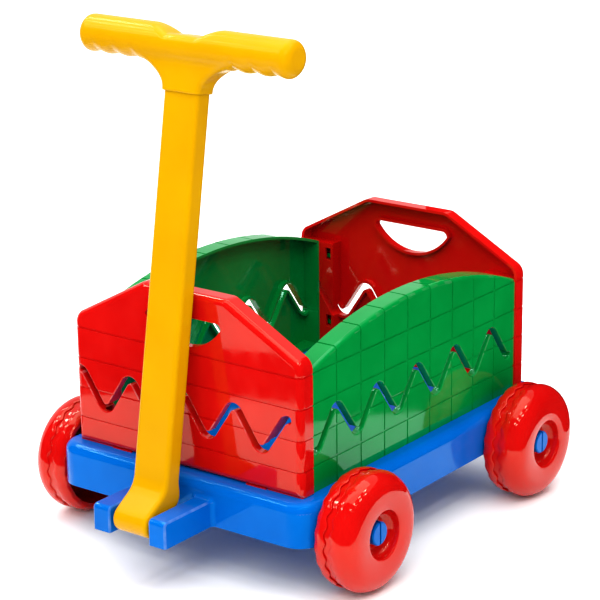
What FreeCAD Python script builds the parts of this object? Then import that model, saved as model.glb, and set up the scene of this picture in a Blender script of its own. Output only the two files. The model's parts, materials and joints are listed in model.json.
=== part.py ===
"""Kids pull wagon: a blue platform, four clip-on panels, four two-shell wheels and a T-handle.

Frame: +X is forward (the handle's end), +Y is the wagon's left, +Z is up, and the
origin is on the ground under the middle of the wagon. Lengths are in millimetres.
The pieces are drawn about the middle of the load box, and box_middle moves them all
along X so that the whole wagon is centred on the origin.
"""
import FreeCAD, Part
import math
import os
import Sketcher
from FreeCAD import Placement, Rotation, Vector

SIZES = {
    # how far a cutter runs past the face that it cuts, and a boss into what bears it
    "overrun": 1.0,
    # load box, outside
    "box_length": 400.0,
    "panel_width": 284.0,
    "deck_height": 99.0,
    "panel_top": 281.5,
    "shoulder_height": 233.0,
    "top_flat": 104.0,
    "end_depth": 19.0,
    "side_depth": 22.5,
    "side_inset": 2.0,
    "side_end_height": 223.0,
    "side_crown_height": 256.5,
    "wall": 3.0,
    "edge_round": 7.0,
    "outline_round": 14.0,
    "foot_round": 1.5,
    "side_round": 4.0,
    "collar_height": 6.0,
    # plank and tile lines
    "plank_margin": 26.8,
    "plank_pitch": 31.5,
    "line_width": 2.0,
    "line_depth": 0.8,
    "tile_columns": 9.0,
    # wavy slot
    "wave_middle": 158.5,
    "wave_rise": 18.0,
    "wave_bend": 8.0,
    "wave_half_width": 3.8,
    "slot_end_wall": 1.2,
    "slot_round": 1.0,
    "end_wave_pitch": 65.5,
    "end_wave_shift": -5.0,
    "side_wave_pitch": 69.0,
    "side_wave_shift": 2.0,
    # hand hole in each end panel
    "hand_half_width": 47.0,
    "hand_top": 256.5,
    "hand_bottom": 226.5,
    "hand_corner": 6.0,
    # corner posts with hook windows
    "post_inner": 98.5,
    "post_top": 222.0,
    "window_middle": 105.0,
    "window_width": 7.0,
    "window_height": 14.0,
    "window_low": 131.0,
    "window_high": 209.5,
    "hook_thickness": 4.0,
    "hook_depth": 4.0,
    "pocket_depth": 11.0,
    "pocket_wall": 6.0,
    "mouth_margin": 1.5,
    # platform
    "base_length": 434.0,
    "base_width": 316.0,
    "base_bottom": 55.0,
    "base_corner": 24.0,
    "base_edge": 10.0,
    "base_wall": 3.5,
    "deck_thickness": 4.0,
    "arm_reach": 288.2,
    "arm_inner": 24.3,
    "arm_outer": 45.3,
    "arm_top": 81.8,
    "arm_nose": 5.0,
    "arm_edge": 2.0,
    "arm_root_round": 5.0,
    "tongue_place": 85.0,
    "tongue_length": 24.0,
    "tongue_drop": 7.0,
    "tongue_thickness": 2.8,
    "floor_half_length": 155.0,
    "floor_half_width": 113.0,
    "floor_corner": 6.0,
    "floor_height": 1.0,
    "clearance": 0.3,
    # axles and wheels
    "axle_reach": 149.0,
    "wheel_radius": 60.5,
    "journal_radius": 10.5,
    "running_gap": 0.1,
    "boss_radius": 17.0,
    "boss_face": 163.7,
    "block_inner": 140.0,
    "block_half_length": 17.0,
    "block_bottom": 42.0,
    "stub_flange_radius": 15.0,
    "stub_flange_inner": 134.0,
    "stub_head_radius": 12.0,
    "stub_chamfer": 1.2,
    "stub_end": 197.0,
    "slit_width": 2.2,
    "slit_depth": 20.0,
    "key_width": 4.0,
    "key_height": 3.0,
    "wheel_inner": 159.0,
    "groove_inner": 172.7,
    "groove_outer": 179.3,
    "groove_floor": 57.7,
    "spigot_reach": 4.5,
    "crest": 203.5,
    "crest_depth": 20.0,
    "shoulder_reach": 12.0,
    "tread_drop": 1.4,
    "rim_depth": 36.0,
    "rim_drop": 1.6,
    "seat_depth": 44.0,
    "tread_rise": 1.2,
    "inner_rise": 1.8,
    "shoulder_rise": 3.7,
    "face_rise": 0.5,
    "recess_rise": 2.9,
    "lip_drop": 1.1,
    "inner_lip_round": 5.0,
    "inner_lip_depth": 10.0,
    "inner_seat_width": 5.0,
    "hub_floor": 188.5,
    "hub_radius": 14.5,
    "wheel_wall": 2.6,
    # handle, drawn upright with its pivot at the origin
    "pivot_reach": 275.0,
    "pivot_height": 70.0,
    "handle_lean": 9.5,
    "nose_radius": 13.4,
    "foot_angle": 44.0,
    "stem_front": -13.2,
    "stem_thickness": 21.0,
    "stem_bottom_width": 43.0,
    "stem_top_width": 41.5,
    "stem_end": 440.0,
    "stem_edge": 2.5,
    "heel_round": 20.0,
    "trunnion_radius": 6.0,
    "trunnion_reach": 31.0,
    "grip_height": 457.0,
    "grip_middle": -22.0,
    "grip_radius": 18.5,
    "grip_half_length": 127.0,
    "grip_end_round": 9.0,
    "saddle_drop": 9.2,
    "saddle_low": 20.0,
    "saddle_high": 42.0,
    "collar_bottom": 413.0,
    "collar_width": 46.0,
    "collar_thickness": 26.0,
    "neck_bend": 24.0,
    "neck_spread": 6.0,
    "socket_gap": 0.2,
    "finger_start": 13.0,
    "finger_pitch": 24.0,
    "finger_dip": 2.2,
    "finger_bend": 14.0,
}

doc = FreeCAD.newDocument("pull_wagon")
sheet = doc.addObject("Spreadsheet::Sheet", "sizes")
for row, (alias, value) in enumerate(SIZES.items(), start=1):
    sheet.set("A%d" % row, alias)
    sheet.set("B%d" % row, str(value))
    sheet.setAlias("B%d" % row, alias)
doc.recompute()


def size(alias):
    """Value of one cell of the sheet."""
    return float(sheet.get(alias))


def box_middle():
    """X of the load box's middle; the wagon runs from the platform's back to the foot's nose."""
    return (size("base_length") / 2 - size("pivot_reach") - size("nose_radius")) / 2


def at_box(spin=0.0, dx=0.0, dz=0.0):
    """Placement of a piece drawn about the load box's middle, turned about Z."""
    return Placement(Vector(box_middle() + dx, 0, dz), Rotation(Vector(0, 0, 1), spin))


# ---- drawing helpers -------------------------------------------------------------


def rounded_outline(corners):
    """Closed outline through (u, v, radius) corners, each rounded by a tangent arc."""
    stretches = []
    for index, (u, v, radius) in enumerate(corners):
        corner = Vector(u, v, 0)
        before = Vector(*corners[index - 1][:2], 0) - corner
        after = Vector(*corners[(index + 1) % len(corners)][:2], 0) - corner
        before.normalize()
        after.normalize()
        if radius == 0:
            stretches.append((corner, None, corner))
            continue
        half = before.getAngle(after) / 2
        reach = radius / math.tan(half)
        bisector = (before + after).normalize()
        middle = corner + bisector * (radius / math.sin(half) - radius)
        stretches.append((corner + before * reach, middle, corner + after * reach))
    outline = []
    for index, (start, middle, end) in enumerate(stretches):
        if middle is not None:
            outline.append(Part.Arc(start, middle, end))
        outline.append(Part.LineSegment(end, stretches[(index + 1) % len(stretches)][0]))
    return outline


def rectangle(u_low, u_high, v_low, v_high, radius=0.0):
    """Closed rectangle, with rounded corners where a radius is given."""
    corners = [(u_low, v_low), (u_high, v_low), (u_high, v_high), (u_low, v_high)]
    return rounded_outline([(u, v, radius) for u, v in corners])


def circle(u, v, radius):
    """Closed circle in a sketch's plane."""
    return [Part.Circle(Vector(u, v, 0), Vector(0, 0, 1), radius)]


def inset(corners, distance):
    """The same convex, anticlockwise outline moved inwards on every side."""
    moved = []
    for index, (u, v, radius) in enumerate(corners):
        corner = Vector(u, v, 0)
        before = (corner - Vector(*corners[index - 1][:2], 0)).normalize()
        after = (Vector(*corners[(index + 1) % len(corners)][:2], 0) - corner).normalize()
        inward = Vector(-before.y, before.x, 0)
        onward = Vector(-after.y, after.x, 0)
        corner += (inward + onward) * (distance / (1 + inward.dot(onward)))
        moved.append((corner.x, corner.y, max(radius - distance, 0)))
    return moved


def wave_outline(pitch, shift, first, last, half_width, cap=None):
    """Wavy slot from half-pitch number first to last, where even numbers are peaks."""
    middle = size("wave_middle")
    bend = size("wave_bend")
    fall = 2 * (size("wave_rise") - bend)
    slope = math.atan2(fall, pitch / 2) + math.asin(2 * bend / math.hypot(pitch / 2, fall))
    outline = []
    ends = []
    for side in (1, -1):
        previous = None
        for number in range(first, last + 1):
            up = 1 if number % 2 == 0 else -1
            centre = Vector(shift + number * pitch / 2, middle + up * fall / 2, 0)
            radius = bend + up * side * half_width
            low = -slope if number > first else 0.0
            high = slope if number < last else 0.0
            angles = (low, (low + high) / 2, high)
            turn = [centre + Vector(math.sin(a), up * math.cos(a), 0) * radius for a in angles]
            if previous is None:
                ends.append(turn[0])
            else:
                outline.append(Part.LineSegment(previous, turn[0]))
            outline.append(Part.Arc(*turn))
            previous = turn[2]
        ends.append(previous)
    for outward, above, below in ((-1, ends[0], ends[2]), (1, ends[1], ends[3])):
        tip = (above + below) * 0.5 + Vector(outward * (cap or half_width), 0, 0)
        outline.append(Part.Arc(above, tip, below))
    return outline


def new_body(label):
    """Empty body that bears the sub-part's name."""
    body = doc.addObject("PartDesign::Body", label)
    body.Label = label
    return body


def add_sketch(body, role, outlines, offset=0.0):
    """Sketch on one of the body's own origin planes, moved along that plane's normal."""
    sketch = body.newObject("Sketcher::SketchObject", body.Name + "_sketch")
    plane = next(item for item in body.Origin.OriginFeatures if item.Role == role)
    sketch.AttachmentSupport = [(plane, "")]
    sketch.MapMode = "FlatFace"
    sketch.AttachmentOffset = Placement(Vector(0, 0, offset), Rotation())
    for outline in outlines:
        sketch.addGeometry(outline, False)
    sketch.Visibility = False
    return sketch


def add_feature(body, kind, sketch, length=None, **settings):
    """Pad, pocket or revolution on a sketch; length is a formula of the sheet's cells."""
    feature = body.newObject("PartDesign::" + kind, body.Name + "_" + kind.lower())
    feature.Profile = sketch
    if length is not None:
        feature.setExpression("Length", length)
    for name, value in settings.items():
        setattr(feature, name, value)
    before = 0.0 if body.Shape.isNull() else body.Shape.Volume
    doc.recompute()
    grew = body.Shape.Volume - before
    if kind == "Pocket" and grew > -1.0 or kind == "Pad" and grew < 1.0:
        raise RuntimeError("%s changes nothing in %s" % (feature.Name, body.Label))
    return feature


def add_fillet(body, radius, chosen):
    """Fillet of every edge of the body that the test picks; radius is a formula."""
    base = body.Tip
    names = ["Edge%d" % (i + 1) for i, edge in enumerate(base.Shape.Edges) if chosen(edge)]
    fillet = body.newObject("PartDesign::Fillet", body.Name + "_fillet")
    fillet.Base = (base, names)
    fillet.setExpression("Radius", radius)
    doc.recompute()
    return fillet


def add_rows(body, feature, role, spacing, count):
    """Repeat a feature along an origin axis; spacing is a formula of the sheet's cells."""
    rows = body.newObject("PartDesign::LinearPattern", body.Name + "_rows")
    rows.Originals = [feature]
    axis = next(item for item in body.Origin.OriginFeatures if item.Role == role)
    rows.Direction = (axis, [""])
    rows.Occurrences = count
    rows.setExpression("Length", "%s * %d" % (spacing, count - 1))
    body.Tip = rows
    doc.recompute()
    return rows


def lies_at(edge, axis, value):
    """True where both of the edge's ends have this coordinate."""
    return all(abs(getattr(v.Point, axis) - value) < 0.01 for v in edge.Vertexes)


# ---- panels ----------------------------------------------------------------------

LINE_ROWS = 4
# the slots run this many half pitches either side of the panel's middle
END_WAVE_REACH = 4
SIDE_WAVE_REACH = 5
HOOK_BASE_GAP = 1.0
# edges that start lower than this above a panel's foot are its foot and keep their corner
FOOT_BAND = 3.0
# an upright edge spans less than this sideways
SHORTEST_EDGE = 0.1


def plank_start():
    """Height of the underside of the lowest plank line."""
    return size("deck_height") + size("plank_margin") - size("line_width") / 2


def window_bottoms():
    """Heights of the undersides of the low and high hook windows."""
    return [size(name) - size("window_height") / 2 for name in ("window_low", "window_high")]


def end_corners():
    """Corners of an end panel seen from the front: a box with cut-off shoulders."""
    half = size("panel_width") / 2
    flat = size("top_flat") / 2
    bottom = size("deck_height")
    foot = size("foot_round")
    bend = size("outline_round")
    return [
        (-half, bottom, foot),
        (half, bottom, foot),
        (half, size("shoulder_height"), bend),
        (flat, size("panel_top"), bend),
        (-flat, size("panel_top"), bend),
        (-half, size("shoulder_height"), bend),
    ]


def hand_outline(margin=0.0):
    """D-shaped hand hole: flat on top, one long arc below; margin grows it."""
    half = size("hand_half_width") + margin
    top = size("hand_top") + margin
    bottom = size("hand_bottom") - margin
    corner = size("hand_corner") + margin
    nook = corner * (1 - math.sqrt(0.5))
    return [
        Part.LineSegment(Vector(corner - half, top, 0), Vector(half - corner, top, 0)),
        Part.Arc(
            Vector(half - corner, top, 0),
            Vector(half - nook, top - nook, 0),
            Vector(half, top - corner, 0),
        ),
        Part.Arc(Vector(half, top - corner, 0), Vector(0, bottom, 0), Vector(-half, top - corner, 0)),
        Part.Arc(
            Vector(-half, top - corner, 0),
            Vector(nook - half, top - nook, 0),
            Vector(corner - half, top, 0),
        ),
    ]


def add_slot_lip(body, axis, face):
    """Round the outer edge of a panel's wavy slot, on the face across this axis."""
    middle = size("wave_middle")
    reach = size("wave_rise") + 2 * size("wave_half_width")
    longest = size("end_wave_pitch") / 2
    along = "XLength" if axis == "y" else "YLength"
    add_fillet(body, "sizes.slot_round",
               lambda edge: lies_at(edge, axis, face)
               and abs(edge.CenterOfMass.z - middle) < reach
               and SHORTEST_EDGE < getattr(edge.BoundBox, along) < longest)


def end_panel(label, spin):
    """Red end panel: an open-backed tray with plank lines, a wavy slot and a hand hole."""
    body = new_body(label)
    face = size("box_length") / 2
    rim = face - size("end_depth")
    skin = face - size("wall")
    half = size("panel_width") / 2
    bottom = size("deck_height")
    over = size("overrun")
    add_feature(body, "Pad", add_sketch(body, "YZ_Plane", [rounded_outline(end_corners())], rim),
                "sizes.end_depth")
    add_fillet(body, "sizes.edge_round",
               lambda edge: lies_at(edge, "x", face) and edge.BoundBox.ZMax > bottom + FOOT_BAND)
    hollow = rounded_outline(inset(end_corners(), size("wall")))
    add_feature(body, "Pocket", add_sketch(body, "YZ_Plane", [hollow], rim),
                "sizes.end_depth - sizes.wall", Reversed=True)
    # collars around the hand hole and the slot stand inwards from the skin
    wave = (size("end_wave_pitch"), size("end_wave_shift"), -END_WAVE_REACH, END_WAVE_REACH)
    slot_width = size("wave_half_width")
    cap = slot_width + size("slot_end_wall")
    for collar in (hand_outline(size("wall")), wave_outline(*wave, slot_width + size("wall"), cap)):
        add_feature(body, "Pad", add_sketch(body, "YZ_Plane", [collar], skin),
                    "sizes.collar_height", Reversed=True)
    # corner posts back up the side panels
    post = (size("post_inner"), half - size("wall") / 2)
    posts = [rectangle(*sorted((side * post[0], side * post[1])), bottom, size("post_top"))
             for side in (1, -1)]
    add_feature(body, "Pad", add_sketch(body, "YZ_Plane", posts, rim),
                "sizes.end_depth - sizes.wall")
    for window_bottom in window_bottoms():
        windows = [rounded_outline([(x, side * y, 0) for x, y in window_corners()])
                   for side in (1, -1)]
        add_feature(body, "Pocket", add_sketch(body, "XY_Plane", windows, window_bottom),
                    "sizes.window_height", Reversed=True)
    for hole in (hand_outline(), wave_outline(*wave, slot_width)):
        add_feature(body, "Pocket", add_sketch(body, "YZ_Plane", [hole], rim - over),
                    Type="ThroughAll", Reversed=True)
    add_slot_lip(body, "x", face)
    # plank lines run round the front and both sides
    depth = size("line_depth")
    bend = size("edge_round") - depth
    line = rounded_outline([
        (rim - over, -half - over, 0), (face + over, -half - over, 0),
        (face + over, half + over, 0), (rim - over, half + over, 0),
        (rim - over, half - depth, 0), (face - depth, half - depth, bend),
        (face - depth, depth - half, bend), (rim - over, depth - half, 0),
    ])
    cut = add_feature(body, "Pocket", add_sketch(body, "XY_Plane", [line], plank_start()),
                      "sizes.line_width", Reversed=True)
    add_rows(body, cut, "Z_Axis", "sizes.plank_pitch", LINE_ROWS)
    # tongues that drop into the deck
    thick = size("tongue_thickness") / 2
    tongues = [rectangle(skin - thick, skin + thick, *tongue_span(side)) for side in (1, -1)]
    add_feature(body, "Pad", add_sketch(body, "XY_Plane", tongues, bottom - size("tongue_drop")),
                "sizes.tongue_drop + sizes.overrun")
    body.Placement = at_box(spin)
    return body


def tongue_span(side):
    """Lowest and highest place of one tongue along the panel."""
    near = side * size("tongue_place")
    half = size("tongue_length") / 2
    return near - half, near + half


def mouth_place():
    """Y of the inner side of the mouth through which a hook enters its corner post."""
    return size("panel_width") / 2 - size("side_inset") - size("side_depth") + size("mouth_margin")


def window_corners():
    """Plan of a hook's pocket in a corner post: an open mouth, a passage and a window."""
    rim = size("box_length") / 2 - size("end_depth")
    face = rim + size("wall")
    floor = face + size("pocket_depth")
    window = size("window_middle")
    half = size("window_width") / 2
    mouth = mouth_place()
    end = size("panel_width") / 2 - size("pocket_wall")
    near = rim - size("overrun")
    return [
        (near, mouth), (face, mouth), (face, window + half), (near, window + half),
        (near, window - half), (floor, window - half), (floor, end), (near, end),
    ]


def hook_corners():
    """Plan of a side panel's hook, which reaches through the mouth to the window."""
    rim = size("box_length") / 2 - size("end_depth")
    gap = size("clearance")
    neck = rim + size("wall") + size("hook_depth")
    tip = neck + size("hook_thickness")
    inner = size("window_middle") - size("window_width") / 2 + HOOK_BASE_GAP
    mouth = mouth_place() + gap
    end = size("panel_width") / 2 - size("pocket_wall") - gap
    root = rim - size("overrun")
    return [(root, mouth), (neck, mouth), (neck, inner), (tip, inner), (tip, end), (root, end)]


def arch_radius():
    """Radius of the side panel's top edge through its two ends and its crown."""
    half = size("box_length") / 2 - size("end_depth")
    rise = size("side_crown_height") - size("side_end_height")
    return (half * half + rise * rise) / (2 * rise)


def arch_height(x, margin=0.0):
    """Height of the side panel's top edge, or of a curve a margin inside it."""
    radius = arch_radius()
    return size("side_crown_height") - radius + math.sqrt((radius - margin) ** 2 - x * x)


def arch_outline(margin=0.0):
    """Side panel's outline, or the same outline a margin inside it."""
    half = size("box_length") / 2 - size("end_depth") - margin
    bottom = size("deck_height") + margin
    end = arch_height(half, margin)
    return [
        Part.LineSegment(Vector(-half, bottom, 0), Vector(half, bottom, 0)),
        Part.LineSegment(Vector(half, bottom, 0), Vector(half, end, 0)),
        Part.Arc(Vector(half, end, 0), Vector(0, arch_height(0, margin), 0), Vector(-half, end, 0)),
        Part.LineSegment(Vector(-half, end, 0), Vector(-half, bottom, 0)),
    ]


def side_panel(label, spin):
    """Green side panel: an open-backed tray with an arched top, tile lines and a slot."""
    body = new_body(label)
    face = size("panel_width") / 2 - size("side_inset")
    rim = face - size("side_depth")
    half = size("box_length") / 2 - size("end_depth")
    bottom = size("deck_height")
    over = size("overrun")
    skin = face - size("wall")
    # the XZ plane's normal is -Y, so a sketch at y has offset -y and pads inwards
    add_feature(body, "Pad", add_sketch(body, "XZ_Plane", [arch_outline()], -face),
                "sizes.side_depth")
    add_fillet(body, "sizes.side_round",
               lambda edge: lies_at(edge, "y", face) and edge.BoundBox.ZMin > bottom + FOOT_BAND)
    add_feature(body, "Pocket", add_sketch(body, "XZ_Plane", [arch_outline(size("wall"))], -rim),
                "sizes.side_depth - sizes.wall")
    wave = (size("side_wave_pitch"), size("side_wave_shift"), -SIDE_WAVE_REACH, SIDE_WAVE_REACH)
    collar = wave_outline(*wave, size("wave_half_width") + size("wall"))
    add_feature(body, "Pad", add_sketch(body, "XZ_Plane", [collar], -skin), "sizes.collar_height")
    slot = wave_outline(*wave, size("wave_half_width"))
    add_feature(body, "Pocket", add_sketch(body, "XZ_Plane", [slot], over - rim), Type="ThroughAll")
    add_slot_lip(body, "y", face)
    # tile lines: rows on the face, columns that also run over the top edge
    depth = size("line_depth")
    row = rectangle(-half - over, half + over, face - depth, face + over)
    cut = add_feature(body, "Pocket", add_sketch(body, "XY_Plane", [row], plank_start()),
                      "sizes.line_width", Reversed=True)
    add_rows(body, cut, "Z_Axis", "sizes.plank_pitch", LINE_ROWS)
    columns = int(size("tile_columns"))
    for number in range(1, columns):
        x = half * (2 * number / columns - 1)
        top = arch_height(x)
        line = rounded_outline([
            (face - depth, bottom - over, 0), (face + over, bottom - over, 0),
            (face + over, top + over, 0), (rim - over, top + over, 0), (rim - over, top - depth, 0),
            (face - depth, top - depth, size("side_round") - depth),
        ])
        add_feature(body, "Pocket", add_sketch(body, "YZ_Plane", [line], x),
                    "sizes.line_width", Midplane=True)
    # hooks at both ends, low in their windows, and tongues that drop into the deck
    for window_bottom in window_bottoms():
        hooks = [rounded_outline([(end * x, y, 0) for x, y in hook_corners()]) for end in (1, -1)]
        add_feature(body, "Pad", add_sketch(body, "XY_Plane", hooks, window_bottom + HOOK_BASE_GAP),
                    "sizes.hook_thickness")
    thick = size("tongue_thickness") / 2
    tongues = [rectangle(*tongue_span(side), skin - thick, skin + thick) for side in (1, -1)]
    add_feature(body, "Pad", add_sketch(body, "XY_Plane", tongues, bottom - size("tongue_drop")),
                "sizes.tongue_drop + sizes.overrun")
    body.Placement = at_box(spin)
    return body


# ---- platform --------------------------------------------------------------------


def base_corners():
    """Corners of the platform seen from above."""
    length = size("base_length") / 2
    width = size("base_width") / 2
    corner = size("base_corner")
    return [(-length, -width, corner), (length, -width, corner),
            (length, width, corner), (-length, width, corner)]


def base_platform():
    """Blue platform: a skirted deck with two hitch arms and four axle blocks."""
    body = new_body("base_platform")
    top = size("deck_height")
    bottom = size("base_bottom")
    front = size("base_length") / 2
    side = size("base_width") / 2
    add_feature(body, "Pad", add_sketch(body, "XY_Plane", [rounded_outline(base_corners())], bottom),
                "sizes.deck_height - sizes.base_bottom")
    add_fillet(body, "sizes.base_edge", lambda edge: lies_at(edge, "z", top))
    hollow = rounded_outline(inset(base_corners(), size("base_wall")))
    add_feature(body, "Pocket", add_sketch(body, "XY_Plane", [hollow], bottom),
                "sizes.deck_height - sizes.base_bottom - sizes.deck_thickness", Reversed=True)
    # hitch arms: from the skirt forward, either side of the handle's foot
    reach = size("arm_reach")
    inner = size("arm_inner")
    outer = size("arm_outer")
    root = front - size("base_wall") / 2
    arms = [rectangle(root, reach, *sorted((way * inner, way * outer))) for way in (1, -1)]
    add_feature(body, "Pad", add_sketch(body, "XY_Plane", arms, bottom),
                "sizes.arm_top - sizes.base_bottom")
    arm_top = size("arm_top")
    add_fillet(body, "sizes.arm_nose",
               lambda edge: lies_at(edge, "x", reach) and lies_at(edge, "z", arm_top))
    add_fillet(body, "sizes.arm_edge",
               lambda edge: lies_at(edge, "z", arm_top) and edge.BoundBox.XLength > (reach - front) / 2)
    add_fillet(body, "sizes.arm_root_round",
               lambda edge: lies_at(edge, "x", front) and lies_at(edge, "z", arm_top))
    add_feature(body, "Pocket",
                add_sketch(body, "XZ_Plane", [circle(size("pivot_reach"), size("pivot_height"),
                                                     size("trunnion_radius") + size("running_gap"))]),
                "2 * (sizes.trunnion_reach + sizes.clearance)", Midplane=True)
    # axle blocks hang under the deck just inside the skirt, with bosses towards the wheels
    axle_x = size("axle_reach")
    half_block = size("block_half_length")
    blocks = []
    for x in (axle_x, -axle_x):
        for way in (1, -1):
            near, far = sorted((way * size("block_inner"), way * side))
            blocks.append(rectangle(x - half_block, x + half_block, near, far))
    add_feature(body, "Pad", add_sketch(body, "XY_Plane", blocks, size("block_bottom")),
                "sizes.deck_height - sizes.deck_thickness / 2 - sizes.block_bottom")
    height = size("wheel_radius")
    for way in (1, -1):
        bosses = [circle(x, height, size("boss_radius")) for x in (axle_x, -axle_x)]
        add_feature(body, "Pad", add_sketch(body, "XZ_Plane", bosses, -way * size("boss_face")),
                    "sizes.boss_face - sizes.base_width / 2 + sizes.overrun", Reversed=way < 0)
    bores = [circle(x, height, size("journal_radius") + size("running_gap"))
             for x in (axle_x, -axle_x)]
    add_feature(body, "Pocket", add_sketch(body, "XZ_Plane", bores), Type="ThroughAll", Midplane=True)
    key = size("key_width") / 2 + size("clearance")
    key_top = height + size("journal_radius") + size("key_height") + size("clearance")
    keyways = [rectangle(x - key, x + key, height, key_top) for x in (axle_x, -axle_x)]
    add_feature(body, "Pocket", add_sketch(body, "XZ_Plane", keyways), Type="ThroughAll", Midplane=True)
    # the load floor stands a little above the deck that the panels sit on
    half_length = size("floor_half_length")
    half_width = size("floor_half_width")
    floor = rectangle(-half_length, half_length, -half_width, half_width, size("floor_corner"))
    add_feature(body, "Pad", add_sketch(body, "XY_Plane", [floor], top), "sizes.floor_height")
    # slots in the deck for the panels' tongues
    gap = size("clearance")
    half_slot = size("tongue_thickness") / 2 + gap
    end_skin = size("box_length") / 2 - size("wall")
    side_skin = size("panel_width") / 2 - size("side_inset") - size("wall")
    slots = []
    for way in (1, -1):
        for place in (1, -1):
            low, high = tongue_span(place)
            slots.append(rectangle(way * end_skin - half_slot, way * end_skin + half_slot,
                                   low - gap, high + gap))
            slots.append(rectangle(low - gap, high + gap,
                                   way * side_skin - half_slot, way * side_skin + half_slot))
    add_feature(body, "Pocket", add_sketch(body, "XY_Plane", slots, top),
                "sizes.deck_thickness + sizes.overrun")
    body.Placement = at_box()
    return body


# ---- axle stubs and wheels: drawn with their axis on Y, for the wagon's left ---------


def polyline(points):
    """Closed outline of straight edges."""
    return rounded_outline([(u, v, 0) for u, v in points])


def axle_stub(label, x, spin):
    """Blue stub axle: inner flange, keyed journal and a split snap head."""
    body = new_body(label)
    journal = size("journal_radius")
    flange = size("stub_flange_inner")
    seat = size("block_inner") - size("clearance")
    head = size("hub_floor") + size("clearance")
    radius = size("stub_head_radius")
    end = size("stub_end")
    chamfer = size("stub_chamfer")
    profile = polyline([
        (flange, 0), (end, 0), (end, radius - chamfer), (end - chamfer, radius), (head, radius),
        (head, journal), (seat, journal), (seat, size("stub_flange_radius")),
        (flange, size("stub_flange_radius")),
    ])
    sketch = add_sketch(body, "YZ_Plane", [profile])
    add_feature(body, "Revolution", sketch, ReferenceAxis=(sketch, ["H_Axis"]), Angle=360.0)
    half_key = size("key_width") / 2
    key = rectangle(-half_key, half_key, seat, size("base_width") / 2)
    add_feature(body, "Pad", add_sketch(body, "XY_Plane", [key]),
                "sizes.journal_radius + sizes.key_height")
    half_slit = size("slit_width") / 2
    slit = rectangle(-half_slit, half_slit, end - size("slit_depth"), end + size("overrun"))
    add_feature(body, "Pocket", add_sketch(body, "XY_Plane", [slit]), Type="ThroughAll", Midplane=True)
    body.Placement = at_box(spin, x, size("wheel_radius"))
    return body


def profile_outline(points, rises):
    """Closed outline through points; each side is an arc that rises to the left of its chord."""
    outline = []
    for index, (start, rise) in enumerate(zip(points, rises)):
        start = Vector(*start, 0)
        end = Vector(*points[(index + 1) % len(points)], 0)
        if rise == 0:
            outline.append(Part.LineSegment(start, end))
            continue
        chord = end - start
        left = Vector(-chord.y, chord.x, 0).normalize()
        outline.append(Part.Arc(start, (start + end) * 0.5 + left * rise, end))
    return outline


def wheel_outer(label, x, spin):
    """Red outer wheel shell: a ring-shaped dome, the hub and the bottom of the groove."""
    body = new_body(label)
    radius = size("wheel_radius")
    wall = size("wheel_wall")
    crest = size("crest")
    hub = size("hub_floor")
    spigot = size("groove_inner") - size("spigot_reach")
    lip = (size("groove_outer"), radius - size("lip_drop"))
    shoulder = (crest - size("shoulder_reach"), radius - size("tread_drop"))
    ring = (crest, radius - size("crest_depth"))
    rim = (crest - size("rim_drop"), radius - size("rim_depth"))
    seat = (hub, radius - size("seat_depth"))
    outside = [
        (spigot, size("groove_floor")), (lip[0], size("groove_floor")), lip, shoulder, ring, rim, seat,
    ]
    outside_rises = [0, 0, size("tread_rise"), size("shoulder_rise"), size("face_rise"),
                     -size("recess_rise"), 0]
    hub_end = size("boss_face") + size("clearance")
    bore = size("journal_radius") + size("running_gap")
    hub_wall = [(hub, bore), (hub_end, bore), (hub_end, size("hub_radius")),
                (hub - wall, size("hub_radius"))]
    inside = [
        (hub - wall, seat[1] + wall / 2), (rim[0] - wall / 2, rim[1] + wall), (crest - wall, ring[1]),
        (shoulder[0] - wall / 2, shoulder[1] - wall), (lip[0] + wall, size("groove_floor") - wall),
        (spigot, size("groove_floor") - wall),
    ]
    inside_rises = [size("recess_rise"), -size("face_rise"), -size("shoulder_rise"), 0, 0, 0]
    profile = profile_outline(outside + hub_wall + inside,
                              outside_rises + [0] * len(hub_wall) + inside_rises)
    sketch = add_sketch(body, "YZ_Plane", [profile])
    add_feature(body, "Revolution", sketch, ReferenceAxis=(sketch, ["H_Axis"]), Angle=360.0)
    body.Placement = at_box(spin, x, radius)
    return body


def wheel_inner(label, x, spin):
    """Red inner wheel shell: the ring that closes the tread on the wagon's side."""
    body = new_body(label)
    radius = size("wheel_radius")
    lip = size("groove_inner")
    face = size("wheel_inner")
    inside = face + size("wheel_wall")
    top = radius - size("lip_drop")
    seat = size("groove_floor") + size("running_gap")
    turn = radius - size("inner_lip_round")
    foot = radius - size("inner_lip_depth")
    corners = [(lip, top), (face, turn), (face, foot), (inside, foot), (inside, turn - size("lip_drop")),
               (lip - size("inner_seat_width"), seat), (lip, seat)]
    profile = profile_outline(corners, [-size("inner_rise"), 0, 0, 0, 0, 0, 0])
    sketch = add_sketch(body, "YZ_Plane", [profile])
    add_feature(body, "Revolution", sketch, ReferenceAxis=(sketch, ["H_Axis"]), Angle=360.0)
    body.Placement = at_box(spin, x, radius)
    return body


# ---- handle: drawn upright with its pivot at the origin, then leant back --------------

FINGER_DIPS = 3


def handle_placement():
    """Places the upright drawing at the pivot, leaning back over the front panel."""
    place = Vector(box_middle() + size("pivot_reach"), 0, size("pivot_height"))
    return Placement(place, Rotation(Vector(0, 1, 0), -size("handle_lean")))


def foot_directions():
    """The foot's slope, and the step from its middle line to its upper side."""
    angle = math.radians(size("foot_angle"))
    along = Vector(-math.cos(angle), math.sin(angle), 0)
    return along, Vector(math.sin(angle), math.cos(angle), 0) * size("nose_radius")


def crease_height():
    """Height at which the foot's upper side meets the stem's front."""
    along, across = foot_directions()
    return (across + along * ((size("stem_front") - across.x) / along.x)).y


def stem_width(height):
    """Width of the stem, which narrows evenly from the crease to its end."""
    low = crease_height()
    share = (height - low) / (size("stem_end") - low)
    return size("stem_bottom_width") + share * (size("stem_top_width") - size("stem_bottom_width"))


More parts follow.
